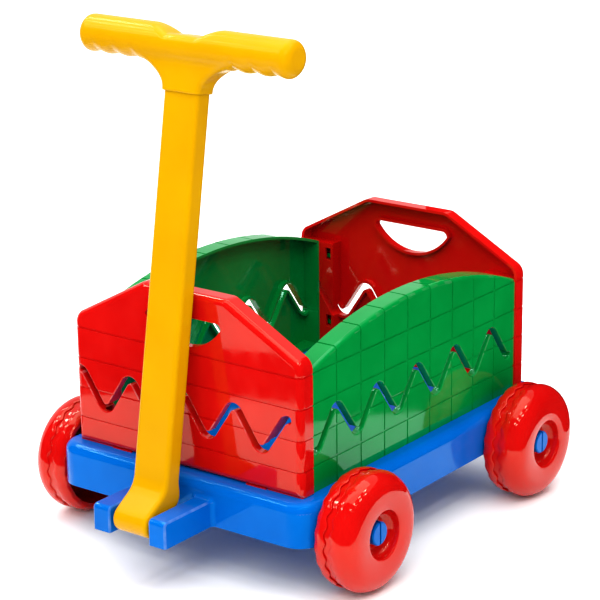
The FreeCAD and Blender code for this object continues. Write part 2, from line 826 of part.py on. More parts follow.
def handle_stem():
    """Yellow stem with a bent foot, whose trunnions turn in the hitch arms."""
    body = new_body("handle_stem")
    along, across = foot_directions()
    front = size("stem_front")
    rear = front - size("stem_thickness")
    heel = along * ((rear + across.x) / along.x) - across
    end = size("stem_end")
    profile = rounded_outline([
        (rear, end, 0), (rear, heel.y, size("heel_round")), (-across.x, -across.y, 0),
        (across.x, across.y, 0), (front, crease_height(), size("heel_round") / 2), (front, end, 0),
    ])
    add_feature(body, "Pad", add_sketch(body, "XZ_Plane", [profile]),
                "sizes.stem_bottom_width", Midplane=True)
    add_feature(body, "Pad", add_sketch(body, "XZ_Plane", [circle(0, 0, size("nose_radius"))]),
                "sizes.stem_bottom_width", Midplane=True)
    # the stem narrows towards the grip
    over = size("overrun")
    wide = size("stem_bottom_width") / 2
    narrow = stem_width(end + over) / 2
    start = crease_height()
    wedges = [polyline([(way * wide, start), (way * (wide + over), start),
                        (way * (wide + over), end + over), (way * narrow, end + over)])
              for way in (1, -1)]
    add_feature(body, "Pocket", add_sketch(body, "YZ_Plane", wedges), Type="ThroughAll", Midplane=True)
    add_fillet(body, "sizes.stem_edge", lambda edge: edge.Length > end / 2)
    trunnion = circle(0, 0, size("trunnion_radius"))
    add_feature(body, "Pad", add_sketch(body, "XZ_Plane", [trunnion]),
                "2 * sizes.trunnion_reach", Midplane=True)
    body.Placement = handle_placement()
    return body


def handle_grip():
    """Yellow T-grip: a round bar with finger dips on a neck that caps the stem."""
    radius = size("grip_radius")
    height = size("grip_height")
    middle = size("grip_middle")
    reach = size("grip_half_length")
    stem_middle = size("stem_front") - size("stem_thickness") / 2
    bar = Part.makeCylinder(radius, 2 * reach, Vector(middle, -reach, height), Vector(0, 1, 0))
    ends = [edge for edge in bar.Edges if edge.Closed]
    bar = bar.makeFillet(size("grip_end_round"), ends)
    thick = size("collar_thickness")
    half = size("collar_width") / 2
    under = height - radius
    bend = size("neck_bend")
    spread = half + bend + size("neck_spread")
    neck = rounded_outline([
        (-half, size("collar_bottom"), 0), (half, size("collar_bottom"), 0), (half, under, bend),
        (spread, under, 0), (spread, height, 0),
        (-spread, height, 0), (-spread, under, 0), (-half, under, bend),
    ])
    wire = Part.Wire([piece.toShape() for piece in neck])
    upright = Placement(Vector(stem_middle - thick / 2, 0, 0), Rotation(Vector(1, 1, 1), 120))
    wire.Placement = upright
    block = Part.Face(wire).extrude(Vector(thick, 0, 0))
    bar_profile = Part.makeCylinder(radius, 4 * reach, Vector(middle, -2 * reach, height), Vector(0, 1, 0))
    slab = Part.makeBox(thick, 4 * reach, height - size("collar_bottom"),
                        Vector(stem_middle - thick / 2, -2 * reach, size("collar_bottom")))
    grip = bar.fuse(block.common(slab.fuse(bar_profile)))
    low = size("saddle_low")
    high = size("saddle_high")
    top = height + radius
    floor = top - size("saddle_drop")
    slope = (high - low) / (top - floor)
    lip = high + slope * radius
    saddle = polyline([(-low, floor), (low, floor), (lip, top + radius), (-lip, top + radius)])
    wire = Part.Wire([piece.toShape() for piece in saddle])
    wire.Placement = Placement(Vector(middle - 2 * radius, 0, 0), Rotation(Vector(1, 1, 1), 120))
    grip = grip.cut(Part.Face(wire).extrude(Vector(4 * radius, 0, 0)))
    for way in (1, -1):
        for number in range(FINGER_DIPS):
            y = way * (half + bend + size("finger_start") + number * size("finger_pitch"))
            z = under + size("finger_dip") - size("finger_bend")
            dip = Part.makeCylinder(size("finger_bend"), 4 * radius,
                                    Vector(middle - 2 * radius, y, z), Vector(1, 0, 0))
            grip = grip.cut(dip)
    gap = size("socket_gap")
    socket_width = stem_width(size("collar_bottom")) + 2 * gap
    socket = Part.makeBox(size("stem_thickness") + 2 * gap, socket_width,
                          size("stem_end") - size("collar_bottom"),
                          Vector(stem_middle - size("stem_thickness") / 2 - gap,
                                 -socket_width / 2, size("collar_bottom")))
    grip = grip.cut(socket).removeSplitter()
    feature = doc.addObject("Part::Feature", "handle_grip")
    feature.Label = "handle_grip"
    feature.Shape = grip
    feature.Placement = handle_placement()
    return feature


# ---- the whole wagon -------------------------------------------------------------

subparts = [
    base_platform(),
    end_panel("front_panel", 0),
    end_panel("rear_panel", 180),
    side_panel("left_panel", 0),
    side_panel("right_panel", 180),
]
for corner, reach_sign, turn in (("front_left", 1, 0), ("front_right", 1, 180),
                                 ("rear_left", -1, 0), ("rear_right", -1, 180)):
    x = reach_sign * size("axle_reach")
    subparts.append(axle_stub("axle_stub_" + corner, x, turn))
    subparts.append(wheel_outer("wheel_outer_" + corner, x, turn))
    subparts.append(wheel_inner("wheel_inner_" + corner, x, turn))
subparts.append(handle_stem())
subparts.append(handle_grip())
doc.recompute()

for item in doc.Objects:
    if "Invalid" in item.State or "Error" in item.State:
        raise RuntimeError("%s failed: %s" % (item.Name, item.State))
for subpart in subparts:
    if subpart.Shape.isNull() or not subpart.Shape.isValid() or len(subpart.Shape.Solids) != 1:
        raise RuntimeError("%s has no single valid solid" % subpart.Label)

os.makedirs("parts", exist_ok=True)
for subpart in subparts:
    subpart.Shape.exportStep(os.path.join("parts", subpart.Label + ".step"))
whole = Part.makeCompound([subpart.Shape for subpart in subparts])
print("wagon", whole.BoundBox, "sub-parts", len(subparts))
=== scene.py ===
"""Looks of the kids pull wagon: moulded plastic on a pale studio floor."""
import json
import math
from itertools import product

import bmesh
import bpy
import numpy as np
from mathutils import Matrix, Vector


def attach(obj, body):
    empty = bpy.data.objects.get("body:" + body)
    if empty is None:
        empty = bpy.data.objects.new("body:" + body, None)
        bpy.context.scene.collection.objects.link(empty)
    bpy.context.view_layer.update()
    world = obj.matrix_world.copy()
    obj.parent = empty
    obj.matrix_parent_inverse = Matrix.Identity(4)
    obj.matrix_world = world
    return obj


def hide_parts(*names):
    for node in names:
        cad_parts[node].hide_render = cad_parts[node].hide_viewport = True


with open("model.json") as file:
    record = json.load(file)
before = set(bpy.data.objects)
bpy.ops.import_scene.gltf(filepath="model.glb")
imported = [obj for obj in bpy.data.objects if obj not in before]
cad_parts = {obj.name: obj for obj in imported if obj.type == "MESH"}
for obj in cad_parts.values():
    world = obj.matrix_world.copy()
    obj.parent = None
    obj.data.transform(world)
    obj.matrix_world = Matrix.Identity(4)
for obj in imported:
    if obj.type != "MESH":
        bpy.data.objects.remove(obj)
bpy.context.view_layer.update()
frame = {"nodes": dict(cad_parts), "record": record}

MM = 0.001
EDGE = "worn_and_highlit_edge"
CORNERS = ("front_left", "front_right", "rear_left", "rear_right")
JOINTS = {joint["name"]: joint for joint in frame["record"]["behaviour"]["joints"]}
SLOTS = {row["node"]: row["material_slot"] for row in frame["record"]["subparts"]}


# ---- materials -------------------------------------------------------------------

# how fine each noise is: about this many blotches in a metre
CLOUD_SCALE = 14.0
PATCH_SCALE = 90.0
SCUFF_SCALE = 55.0
RIPPLE_SCALE = 60.0
# the ripple's bump, how much rougher scuffs are and how white the edges are painted, as wear and
# as painted highlight
RIPPLE_STRENGTH = 0.15
RIPPLE_HEIGHT = 0.15 * MM
SCUFF_ROUGHNESS = 0.08
WEAR_AND_HIGHLIGHT_WHITENESS = 0.3
PLASTIC_IOR = 1.5


def socket(shader, name, value):
    """Set one uniform value on a shader's own socket."""
    shader.inputs[name].default_value = value


def plastic(name, deep, light, tint, specular, gloss):
    """Glossy moulded plastic: clouded colour, scuffed roughness and a shallow ripple.

    deep and light are the two ends of the colour; gloss is the lowest roughness.
    """
    material = bpy.data.materials.new(name)
    material.use_nodes = True
    nodes = material.node_tree.nodes
    links = material.node_tree.links
    shader = nodes["Principled BSDF"]
    socket(shader, "IOR", PLASTIC_IOR)
    socket(shader, "Specular IOR Level", specular)
    socket(shader, "Specular Tint", (*tint, 1))
    place = nodes.new("ShaderNodeTexCoord")

    def noise(scale, detail):
        texture = nodes.new("ShaderNodeTexNoise")
        texture.inputs["Scale"].default_value = scale
        texture.inputs["Detail"].default_value = detail
        links.new(place.outputs["Object"], texture.inputs["Vector"])
        return texture.outputs["Fac"]

    def ramp(source, stops):
        curve = nodes.new("ShaderNodeValToRGB")
        for element, (position, colour) in zip(curve.color_ramp.elements, stops):
            element.position = position
            element.color = (*colour, 1)
        links.new(source, curve.inputs["Fac"])
        return curve.outputs["Color"]

    # colour clouds from the melt's flow, tens of millimetres across
    cloud = ramp(noise(CLOUD_SCALE, 3.0), ((0.3, deep), (0.7, light)))
    # wear and painted highlight along edges: patchily paler on the narrow convex radii that hands
    # and toys rub and where glints would catch
    edge_wear_and_highlight = nodes.new("ShaderNodeAttribute")
    edge_wear_and_highlight.attribute_name = EDGE
    patches = nodes.new("ShaderNodeMath")
    patches.operation = "MULTIPLY"
    links.new(edge_wear_and_highlight.outputs["Fac"], patches.inputs[0])
    patch = ramp(noise(PATCH_SCALE, 4.0), ((0.35, (0.1,) * 3), (0.7, (0.7,) * 3)))
    links.new(patch, patches.inputs[1])
    edge = patches.outputs["Value"]
    wear_and_highlight = nodes.new("ShaderNodeMix")
    wear_and_highlight.data_type = "RGBA"
    own = 1 - WEAR_AND_HIGHLIGHT_WHITENESS
    pale = [own * value + WEAR_AND_HIGHLIGHT_WHITENESS * max(light) for value in light]
    wear_and_highlight.inputs["B"].default_value = (*pale, 1)
    links.new(edge, wear_and_highlight.inputs["Factor"])
    links.new(cloud, wear_and_highlight.inputs["A"])
    links.new(wear_and_highlight.outputs["Result"], shader.inputs["Base Color"])
    # handling leaves fine patches that are less glossy
    low = (gloss,) * 3
    high = (gloss + SCUFF_ROUGHNESS,) * 3
    scuffs = ramp(noise(SCUFF_SCALE, 6.0), ((0.35, low), (0.75, high)))
    links.new(scuffs, shader.inputs["Roughness"])
    # a very shallow ripple, as moulded walls have
    bump = nodes.new("ShaderNodeBump")
    bump.inputs["Strength"].default_value = RIPPLE_STRENGTH
    bump.inputs["Distance"].default_value = RIPPLE_HEIGHT
    links.new(noise(RIPPLE_SCALE, 3.0), bump.inputs["Height"])
    links.new(bump.outputs["Normal"], shader.inputs["Normal"])
    return material


PLASTICS = {
    "red_plastic": plastic(
        "red_moulded", deep=(0.46, 0.003, 0.003), light=(0.55, 0.006, 0.005),
        tint=(1.0, 0.85, 0.6), specular=0.5, gloss=0.03),
    "green_plastic": plastic(
        "green_moulded", deep=(0.0, 0.20, 0.036), light=(0.001, 0.25, 0.048),
        tint=(0.4, 1.0, 0.75), specular=0.45, gloss=0.03),
    "blue_plastic": plastic(
        "blue_moulded", deep=(0.0, 0.1, 0.43), light=(0.0, 0.122, 0.5),
        tint=(0.05, 0.7, 1.0), specular=0.3, gloss=0.04),
    "yellow_plastic": plastic(
        "yellow_moulded", deep=(0.53, 0.262, 0.0), light=(0.57, 0.292, 0.0),
        tint=(1.0, 0.9, 0.2), specular=0.25, gloss=0.2),
}


# ---- CAD shapes with mould radii ---------------------------------------------------

# two faces whose normals' product is above this lie in one flat
SAME_FLAT = math.cos(math.radians(0.4))
# a corner's normal takes in the faces that turn from its own by less than 60 degrees
SAME_SIDE = 0.5
# how strongly a big flat outweighs the radii round it
FLAT_WEIGHT = 3
LEAST_WEIGHT = 1e-9
# a bevelled edge is painted paler, as wear and as painted highlight, where its face is narrower
# than this share of the radius
NARROW_SHARE = 0.8
# points closer than this are joined, in millimetres
WELD_REACH = 0.01
# faces that turn by less are joined, and edges that turn by more get a mould radius
FLAT_ANGLE = math.radians(0.5)
SHARP_ANGLE = math.radians(35)
# mould radius on each kind of node, in millimetres
PANEL_EDGE = 0.5
PLATFORM_EDGE = 0.8
STUB_EDGE = 0.4


def wear_plastic(piece, slot_name):
    """Give a new piece the plastic of its slot."""
    piece.data.materials.clear()
    piece.data.materials.append(PLASTICS[slot_name])


def coplanar_areas(mesh):
    """For each face, the area of the whole flat that it is part of."""
    normals = np.empty(3 * len(mesh.polygons), np.float32)
    mesh.polygons.foreach_get("normal", normals)
    normals = normals.reshape(-1, 3)
    faces_of = {}
    for face in mesh.polygons:
        for key in face.edge_keys:
            faces_of.setdefault(key, []).append(face.index)
    leader = list(range(len(mesh.polygons)))

    def top(index):
        while leader[index] != index:
            leader[index] = leader[leader[index]]
            index = leader[index]
        return index

    for pair in faces_of.values():
        if len(pair) == 2 and normals[pair[0]] @ normals[pair[1]] > SAME_FLAT:
            leader[top(pair[0])] = top(pair[1])
    total = {}
    for face in mesh.polygons:
        total[top(face.index)] = total.get(top(face.index), 0) + face.area
    return normals, np.array([total[top(index)] for index in range(len(mesh.polygons))])


def shade_flats(mesh):
    """Corner normals that keep each flat flat and let the radii between them turn smoothly."""
    normals, areas = coplanar_areas(mesh)
    weights = (areas / areas.max()) ** FLAT_WEIGHT + LEAST_WEIGHT
    around = [[] for _ in mesh.vertices]
    for face in mesh.polygons:
        for vertex in face.vertices:
            around[vertex].append(face.index)
    corners = []
    for face in mesh.polygons:
        own = normals[face.index]
        for vertex in face.vertices:
            near = np.array(around[vertex])
            near = near[normals[near] @ own > SAME_SIDE]
            normal = (normals[near] * weights[near][:, None]).sum(0)
            corners.append(normal / (np.linalg.norm(normal) or 1))
    mesh.shade_smooth()
    mesh.normals_split_custom_set(corners)


def mark_edges(mesh, widest):
    """Face attribute that is 1 on narrow convex radii, which the plastic paints paler as wear and
    painted highlight, and 0 elsewhere.
    """
    beside = {}
    for face in mesh.polygons:
        for key in face.edge_keys:
            beside.setdefault(key, []).append(face)
    values = []
    for face in mesh.polygons:
        ends = [(mesh.vertices[a].co - mesh.vertices[b].co).length for a, b in face.edge_keys]
        narrow = face.area / max(ends) < widest
        bulge = sum((face.center - other.center).dot(face.normal)
                    for key in face.edge_keys for other in beside[key])
        values.append(float(narrow and bulge > 0))
    mesh.attributes.new(EDGE, "FLOAT", "FACE").data.foreach_set("value", values)


def soften(node, body, width, edge_wear_and_highlight=True):
    """Copy of a CAD node with small mould radii on its sharp edges."""
    piece = bpy.data.objects.new(node + "_moulding", frame["nodes"][node].data.copy())
    bpy.context.scene.collection.objects.link(piece)
    if "custom_normal" in piece.data.attributes:
        piece.data.attributes.remove(piece.data.attributes["custom_normal"])
    weld = piece.modifiers.new("weld", "WELD")
    weld.merge_threshold = WELD_REACH * MM
    flat = piece.modifiers.new("flats", "DECIMATE")
    flat.decimate_type = "DISSOLVE"
    flat.angle_limit = FLAT_ANGLE
    bevel = piece.modifiers.new("mould_radius", "BEVEL")
    bevel.width = width * MM
    bevel.segments = 2
    bevel.limit_method = "ANGLE"
    bevel.angle_limit = SHARP_ANGLE
    bevel.use_clamp_overlap = True
    solid = piece.evaluated_get(bpy.context.evaluated_depsgraph_get())
    mesh = bpy.data.meshes.new_from_object(solid)
    piece.modifiers.clear()
    piece.data = mesh
    shade_flats(mesh)
    # narrow convex radii get the paler paint of wear and painted highlight
    if edge_wear_and_highlight:
        mark_edges(mesh, NARROW_SHARE * width * MM)
    wear_plastic(piece, SLOTS[node])
    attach(piece, body)
    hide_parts(node)
    return piece


# ---- mesh making ------------------------------------------------------------------

# pulling a surface net's points onto the surface: how often, how far apart the slope is
# read in millimetres, and the least squared slope that a pull is divided by
PULLS = 3
PROBE = 0.05
LEAST_SLOPE = 0.3


def add_piece(name, points, faces, body, slot_name, *nodes):
    """Smooth mesh piece on a body, in place of CAD nodes; points in millimetres."""
    mesh = bpy.data.meshes.new(name)
    mesh.from_pydata((np.asarray(points) * MM).tolist(), [], np.asarray(faces).tolist())
    work = bmesh.new()
    work.from_mesh(mesh)
    bmesh.ops.recalc_face_normals(work, faces=work.faces)
    work.to_mesh(mesh)
    work.free()
    mesh.shade_smooth()
    piece = bpy.data.objects.new(name, mesh)
    bpy.context.scene.collection.objects.link(piece)
    wear_plastic(piece, slot_name)
    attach(piece, body)
    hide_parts(*nodes)
    return piece


def surface_net(field, low, high, step):
    """Points and quads where a signed distance is zero, with one point in each crossed cell."""
    axes = [np.arange(start, end + step, step) for start, end in zip(low, high)]
    value = field(*np.meshgrid(*axes, indexing="ij"))
    cells = tuple(count - 1 for count in value.shape)
    total = np.zeros(cells + (3,))
    crossings = np.zeros(cells)

    def at_corner(corner):
        return value[tuple(slice(c, c + n) for c, n in zip(corner, cells))]

    for corner, axis in product(product((0, 1), repeat=3), range(3)):
        if corner[axis]:
            continue
        other = tuple(c + (i == axis) for i, c in enumerate(corner))
        near, far = at_corner(corner), at_corner(other)
        crossed = (near < 0) != (far < 0)
        share = np.where(crossed, near / np.where(crossed, near - far, 1), 0)
        place = np.array(corner, float) + share[..., None] * np.eye(3)[axis]
        total += np.where(crossed[..., None], place, 0)
        crossings += crossed
    used = crossings > 0
    number = np.full(cells, -1)
    number[used] = np.arange(used.sum())
    points = (np.argwhere(used) + total[used] / crossings[used][:, None]) * step + np.array(low)
    faces = []
    inside = value < 0
    for axis in range(3):
        second, third = (axis + 1) % 3, (axis + 2) % 3
        ahead = np.roll(inside, -1, axis)
        edges = np.argwhere(inside != ahead)
        keep = np.all(edges > 0, axis=1) & np.all(edges < np.array(cells), axis=1)
        edges = edges[keep]
        ring = []
        for back_second, back_third in ((1, 1), (0, 1), (0, 0), (1, 0)):
            cell = edges.copy()
            cell[:, second] -= back_second
            cell[:, third] -= back_third
            ring.append(number[tuple(cell.T)])
        quads = np.column_stack(ring)
        outward = inside[tuple(edges.T)]
        faces.append(np.where(outward[:, None], quads, quads[:, ::-1]))
    faces = np.vstack(faces)
    for _ in range(PULLS):
        slope = np.column_stack([
            field(*(points + PROBE * way).T) - field(*(points - PROBE * way).T)
            for way in np.eye(3)
        ]) / (2 * PROBE)
        steep = np.maximum((slope ** 2).sum(1), LEAST_SLOPE)
        points = points - slope * np.clip(field(*points.T) / steep, -step, step)[:, None]
    return points, faces


def blend_union(first, second, radius):
    """Smooth union of two signed distances."""
    mix = np.clip(0.5 + 0.5 * (second - first) / radius, 0, 1)
    return second + (first - second) * mix - radius * mix * (1 - mix)


def blend_cut(first, second, radius):
    """Smooth intersection of two signed distances."""
    return -blend_union(-first, -second, radius)


def to_segment(u, v, start, end):
    """Distance from points of a plane to a segment, and how far along it they lie."""
    run = np.array(end, float) - np.array(start, float)
    share = np.clip(((u - start[0]) * run[0] + (v - start[1]) * run[1]) / (run @ run), 0, 1)
    return np.hypot(u - start[0] - share * run[0], v - start[1] - share * run[1]), share


def arc_points(start, end, rise, count):
    """Points from start up to end on an arc that rises to the left of its chord."""
    start, end = np.array(start, float), np.array(end, float)
    chord = end - start
    left = np.array([-chord[1], chord[0]]) / np.hypot(*chord)
    share = np.arange(count)[:, None] / count
    # a parabola of the arc's rise lies within hundredths of a millimetre of it
    return start + share * chord + 4 * rise * share * (1 - share) * left


def soft_outline(points, spacing, passes, turn, longest):
    """Closed outline with its corners rounded by averaging, thinned where it runs straight."""
    closed = np.vstack([points, points[:1]])
    reach = np.concatenate([[0], np.cumsum(np.hypot(*np.diff(closed, axis=0).T))])
    places = np.linspace(0, reach[-1], int(reach[-1] / spacing), endpoint=False)
    outline = np.column_stack([np.interp(places, reach, closed[:, i]) for i in (0, 1)])
    for _ in range(passes):
        outline = (np.roll(outline, 1, 0) + 2 * outline + np.roll(outline, -1, 0)) / 4
    steps = np.diff(outline, axis=0, append=outline[:1])
    heading = np.unwrap(np.arctan2(steps[:, 1], steps[:, 0]))
    kept = [0]
    for index in range(1, len(outline)):
        turned = abs(heading[index] - heading[kept[-1]])
        if turned > turn or (index - kept[-1]) * spacing > longest:
            kept.append(index)
    return outline[kept]


def lathe(outline, count, shift):
    """Revolve a closed (y, radius) outline about Y; shift(y, radius, angle) moves its y."""
    angle = 2 * math.pi * np.arange(count)[:, None] / count
    y, radius = outline[:, 0][None, :], outline[:, 1][None, :]
    moved = y + shift(y, radius, angle)
    points = np.stack([radius * np.cos(angle), moved, radius * np.sin(angle)], axis=-1)
    size = len(outline)
    here = np.arange(count)[:, None] * size + np.arange(size)[None, :]
    across = np.roll(here, -1, 1)
    quads = np.stack([here, across, np.roll(across, -1, 0), np.roll(here, -1, 0)], axis=-1)
    return points.reshape(-1, 3), quads.reshape(-1, 4)


# ---- wheels: drawn in the left side's place, in millimetres -------------------------------

# the wavy groove round the tread
WAVES = 22
WAVE_HEIGHT = 1.5
STEPS_PER_WAVE = 8
WHEEL_RADIUS = 60.5
LIP_DROP = 1.1
GROOVE_INNER = 172.7
GROOVE_OUTER = 179.3
GROOVE_FLOOR = 57.7
CREST = 203.5
HUB_FLOOR = 188.5
HUB_BACK = 164.0
HUB_RADIUS = 14.5
AXLE_BORE = 10.6
SPIGOT = 4.5
WALL = 2.6
# how far in from the crest, and below the tread, the dome's turning points lie
SHOULDER_PLACE = (12.0, 1.4)
RING_DEPTH = 20.0
RIM_PLACE = (1.6, 36.0)
SEAT_DEPTH = 44.0
# how far each stretch of the outlines bulges from its chord
LIP_BULGE = 1.2
DOME_BULGE = 3.7
RIM_BULGE = 0.5
BOWL_BULGE = 2.9
INNER_BULGE = 1.8
# the inner shell: its face beside the platform, its open edge and the cuff on the spigot
INNER_FACE = 159.0
INNER_DROP = 5.0
INNER_HEM = 5.0
INNER_CUFF = 5.0
INNER_SKIN = 1.1
SEAT_GAP = 0.1
# how each outline is rounded and then thinned
OUTLINE_STEP = 0.4
ROUNDING_PASSES = 6
LARGEST_TURN = math.radians(9)
LONGEST_STEP = 8 * OUTLINE_STEP
# where the wave starts beside the groove's outer edge, and how it dies out over the tread
WAVE_START = 3.0
WAVE_RAMP = 2.5
WAVE_RUN = 9.0
TREAD_DEPTH = 0.6
# how much of it the inner shell's open edge follows
EDGE_SHARE = 0.35


def tread_wave(angle):
    """How far the groove's two edges swing sideways at an angle round the tread."""
    return WAVE_HEIGHT * np.sin(WAVES * angle)


def outer_shell():
    """Outline of the outer wheel shell: tread lip, ring-shaped dome, bowl and hub."""
    lip = (GROOVE_OUTER, WHEEL_RADIUS - LIP_DROP)
    shoulder = (CREST - SHOULDER_PLACE[0], WHEEL_RADIUS - SHOULDER_PLACE[1])
    ring = (CREST, WHEEL_RADIUS - RING_DEPTH)
    rim = (CREST - RIM_PLACE[0], WHEEL_RADIUS - RIM_PLACE[1])
    seat = (HUB_FLOOR, WHEEL_RADIUS - SEAT_DEPTH)
    spigot = GROOVE_INNER - SPIGOT
    inner_lip = (lip[0] + WALL, GROOVE_FLOOR - WALL)
    return np.vstack([
        [(spigot, GROOVE_FLOOR), (lip[0], GROOVE_FLOOR)],
        arc_points(lip, shoulder, LIP_BULGE, 8), arc_points(shoulder, ring, DOME_BULGE, 16),
        arc_points(ring, rim, RIM_BULGE, 10), arc_points(rim, seat, -BOWL_BULGE, 10),
        [seat, (HUB_FLOOR, AXLE_BORE), (HUB_BACK, AXLE_BORE)],
        [(HUB_BACK, HUB_RADIUS), (HUB_FLOOR - WALL, HUB_RADIUS)],
        arc_points((HUB_FLOOR - WALL, seat[1] + WALL / 2), (rim[0] - WALL / 2, rim[1] + WALL),
                   BOWL_BULGE, 8),
        [(CREST - WALL, ring[1])],
        arc_points((CREST - WALL, ring[1]), (shoulder[0] - WALL / 2, shoulder[1] - WALL),
                   -DOME_BULGE, 10),
        [(shoulder[0] - WALL / 2, shoulder[1] - WALL), inner_lip, (spigot, inner_lip[1])],
    ])


def inner_shell():
    """Outline of the inner wheel shell: the ring that closes the tread on the wagon's side."""
    top = WHEEL_RADIUS - LIP_DROP
    seat = GROOVE_FLOOR + SEAT_GAP
    edge = WHEEL_RADIUS - INNER_DROP
    back = INNER_FACE + WALL
    return np.vstack([
        arc_points((GROOVE_INNER, top), (INNER_FACE, edge), -INNER_BULGE, 8),
        [(INNER_FACE, edge), (INNER_FACE, edge - INNER_HEM), (back, edge - INNER_HEM),
         (back, edge - INNER_SKIN), (GROOVE_INNER - INNER_CUFF, seat), (GROOVE_INNER, seat)],
    ])


def outer_shift(y, radius, angle):
    """The outer lip swings with the wave, which dies out over the tread."""
    rise = np.clip((y - GROOVE_OUTER + WAVE_START) / WAVE_RAMP, 0, 1)
    fade = np.clip((GROOVE_OUTER + WAVE_RUN - y) / WAVE_RUN, 0, 1) ** 2
    return np.where(radius > GROOVE_FLOOR - TREAD_DEPTH, rise * fade, 0) * tread_wave(angle)


def inner_shift(y, radius, angle):
    """The inner lip swings with the wave, and the open edge follows it a little."""
    lip = np.clip((y - GROOVE_INNER + INNER_CUFF) / INNER_CUFF, 0, 1)
    edge = EDGE_SHARE * np.clip((GROOVE_INNER - INNER_CUFF - y) / INNER_CUFF, 0, 1)
    return (lip + edge) * tread_wave(angle)


def add_wheel(corner):
    """Both shells of one wheel, at its joint."""
    joint = JOINTS[corner + "_wheel_spin"]
    middle = np.array(joint["pos_m"]) / MM
    way = 1 if middle[1] > 0 else -1
    shells = (("outer", outer_shell(), outer_shift), ("inner", inner_shell(), inner_shift))
    for part, outline, shift in shells:
        outline = soft_outline(outline, OUTLINE_STEP, ROUNDING_PASSES, LARGEST_TURN, LONGEST_STEP)
        points, faces = lathe(outline, STEPS_PER_WAVE * WAVES, shift)
        points[:, :2] *= way
        points += (middle[0], 0, middle[2])
        node = "wheel_%s_%s" % (part, corner)
        add_piece("wheel_%s_shell_%s" % (part, corner), points, faces, "wheel_" + corner,
                  "red_plastic", node)


# ---- handle: drawn upright with its pivot at the origin, in millimetres --------------------

LEAN = math.radians(9.5)
# the stem
STEM_MIDDLE = -23.7
STEM_HALF_WIDTH = 21.5
STEM_TAPER = 0.75
TAPER_START = 30
STEM_HALF_THICKNESS = 10.5
STEM_END = 440.0
STEM_EDGE = 4.2
STEM_GRID = 1.5
FOOT_RADIUS = 13.4
FOOT_BLEND = 9.0
TRUNNION_RADIUS = 6.0
TRUNNION_HALF = 31.0
FOOT_ANGLE = math.radians(44)
FOOT_TAPER = 1.5
# the grip's bar
GRIP_MIDDLE = -22.0
GRIP_HEIGHT = 457.0
GRIP_RADIUS = 18.5
GRIP_HALF = 127.0
GRIP_END_ROUND = 9.5
GRIP_GRID = 1.1
# the collar on the stem and the neck that flares from it
COLLAR_BOTTOM = 413.0
COLLAR_HALF = 23.0
COLLAR_HALF_DEPTH = 13.2
COLLAR_EDGE = 5.5
COLLAR_STRAIGHT = 2.0
FLARE = 0.041
FLARE_HEIGHT = 32
COLLAR_LIP = 1.5
NECK_OVERLAP = 4
NECK_BLEND = 4.0
FIT_GAP = 0.2
# the finger dips
FIRST_VALLEY = 60.0
FINGER_PITCH = 23.5
FINGER_DEPTH = 2.9
FINGER_START = 9.0
VALLEY_ROUND = 0.02
# the saddle over the neck
SADDLE_DROP = 9.4
SADDLE_HALF = 19.0
SADDLE_SLOPE = 22.0
SADDLE_CROWN = 0.8
CROWN_LENGTH = 40
SHOULDER_RISE = 13.5
SADDLE_BLEND = 6.0
# how much the shoulders' slope shortens a distance
SADDLE_SCALE = 0.86


def lean_back(points):
    """Move the upright drawing to the hitch, leaning back over the front panel."""
    pivot = np.array(JOINTS["handle_tilt"]["pos_m"]) / MM
    x, y, z = points.T
    return pivot + np.column_stack([
        x * math.cos(LEAN) - z * math.sin(LEAN), y, x * math.sin(LEAN) + z * math.cos(LEAN),
    ])


def stem_half_width(z):
    """Half the stem's width, which narrows evenly towards the grip."""
    share = np.clip((z - TAPER_START) / (STEM_END - TAPER_START), 0, 1)
    return STEM_HALF_WIDTH - STEM_TAPER * share


def round_bar(first, second, edge):
    """Signed distance of where two slabs meet, with its edges rounded."""
    first, second = first + edge, second + edge
    outside = np.hypot(np.maximum(first, 0), np.maximum(second, 0))
    return outside + np.minimum(np.maximum(first, second), 0) - edge


def stem_field(x, y, z):
    """Signed distance of the stem with its bent foot and trunnions."""
    bend = (STEM_MIDDLE, -STEM_MIDDLE * math.tan(FOOT_ANGLE))
    foot, share = to_segment(x, z, (0, 0), bend)
    foot = foot - (FOOT_RADIUS - FOOT_TAPER * share ** 2)
    shank, _ = to_segment(x, z, bend, (STEM_MIDDLE, STEM_END + 20))
    side = blend_union(foot, shank - STEM_HALF_THICKNESS, FOOT_BLEND)
    body = round_bar(np.abs(y) - stem_half_width(z), side, STEM_EDGE)
    trunnion = np.maximum(np.hypot(x, z) - TRUNNION_RADIUS, np.abs(y) - TRUNNION_HALF)
    return np.minimum(np.maximum(body, z - STEM_END), trunnion)


def finger_dip(y):
    """Depth of the finger grooves under the bar: narrow valleys between wide round bumps."""
    wave = np.abs(np.sin(math.pi * (np.abs(y) - FIRST_VALLEY) / FINGER_PITCH))
    valley = 1 - np.sqrt(wave ** 2 + VALLEY_ROUND)
    start = np.clip((np.abs(y) - FIRST_VALLEY + FINGER_START) / FINGER_START, 0, 1)
    return FINGER_DEPTH * valley * start ** 2 * (3 - 2 * start)


